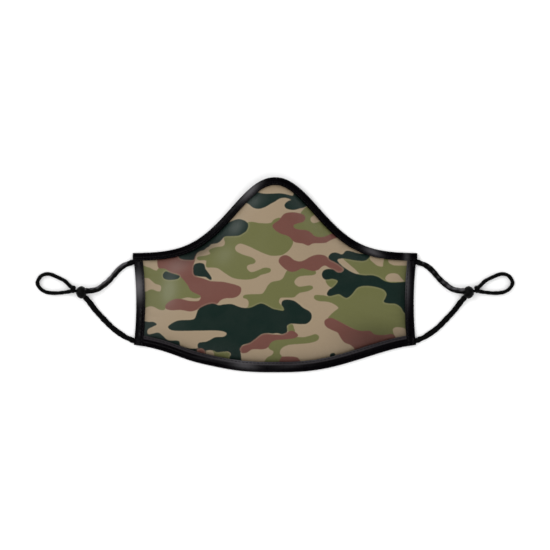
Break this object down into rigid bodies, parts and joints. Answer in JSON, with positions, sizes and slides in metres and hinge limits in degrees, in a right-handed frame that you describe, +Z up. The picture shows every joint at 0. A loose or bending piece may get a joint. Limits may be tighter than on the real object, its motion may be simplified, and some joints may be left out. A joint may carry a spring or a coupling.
{
  "type": "cloth face mask",
  "caption": "Bound cloth face mask with a camouflage print, a shaped nose peak and elastic ear loops with sliding silicone stoppers.",
  "frame": {"origin": "on the table under the middle of the bound cloth, the mask lying with its hollow side down", "axes": "+X along the long side, +Y towards the nose peak, +Z up, out through the printed face"},
  "size_m": [0.3724, 0.1518, 0.0357],
  "materials": {
    "camo_cloth": "woven cotton printed in tan, olive, brown and dark green",
    "filter_felt": "white spun felt",
    "lining_cloth": "plain black cotton jersey",
    "binding_tape": "black satin-faced bias tape",
    "elastic_cord": "black knitted elastic",
    "stopper_silicone": "black soft silicone",
    "sewing_thread": "black polyester thread",
    "nose_wire": "plastic-coated aluminium wire"
  },
  "bodies": {
    "mask": {"outer_panel": "camo_cloth", "filter_layer": "filter_felt", "lining_panel": "lining_cloth", "top_binding": "binding_tape", "bottom_binding": "binding_tape", "left_side_binding": "binding_tape", "right_side_binding": "binding_tape", "nose_wire": "nose_wire", "top_seam_thread": "sewing_thread", "bottom_seam_thread": "sewing_thread", "left_side_seam_thread": "sewing_thread", "right_side_seam_thread": "sewing_thread", "left_upper_bar_tack": "sewing_thread", "left_lower_bar_tack": "sewing_thread", "right_upper_bar_tack": "sewing_thread", "right_lower_bar_tack": "sewing_thread", "left_upper_elastic_end": "elastic_cord", "left_lower_elastic_end": "elastic_cord", "right_upper_elastic_end": "elastic_cord", "right_lower_elastic_end": "elastic_cord"},
    "left_ear_loop": {"left_upper_strand": "elastic_cord", "left_lower_strand": "elastic_cord", "left_tail_loop": "elastic_cord", "left_cord_knot": "elastic_cord"},
    "left_stopper": {"left_stopper_bead": "stopper_silicone"},
    "right_ear_loop": {"right_upper_strand": "elastic_cord", "right_lower_strand": "elastic_cord", "right_tail_loop": "elastic_cord", "right_cord_knot": "elastic_cord"},
    "right_stopper": {"right_stopper_bead": "stopper_silicone"}
  },
  "joints": [
    {"name": "left_loop_swing", "type": "hinge", "parent": "mask", "child": "left_ear_loop", "pos_m": [-0.1132, 0, 0.0016], "axis": [0, 1, 0], "range_deg": [-110, 110], "deforming": ["left_upper_elastic_end", "left_lower_elastic_end"]},
    {"name": "left_stopper_slide", "type": "slide", "parent": "left_ear_loop", "child": "left_stopper", "axis": [1, 0, 0], "range_m": [0, 0.014], "deforming": ["left_upper_strand", "left_lower_strand"]},
    {"name": "right_loop_swing", "type": "hinge", "parent": "mask", "child": "right_ear_loop", "pos_m": [0.1132, 0, 0.0016], "axis": [0, -1, 0], "range_deg": [-110, 110], "deforming": ["right_upper_elastic_end", "right_lower_elastic_end"]},
    {"name": "right_stopper_slide", "type": "slide", "parent": "right_ear_loop", "child": "right_stopper", "axis": [-1, 0, 0], "range_m": [0, 0.014], "deforming": ["right_upper_strand", "right_lower_strand"]}
  ]
}
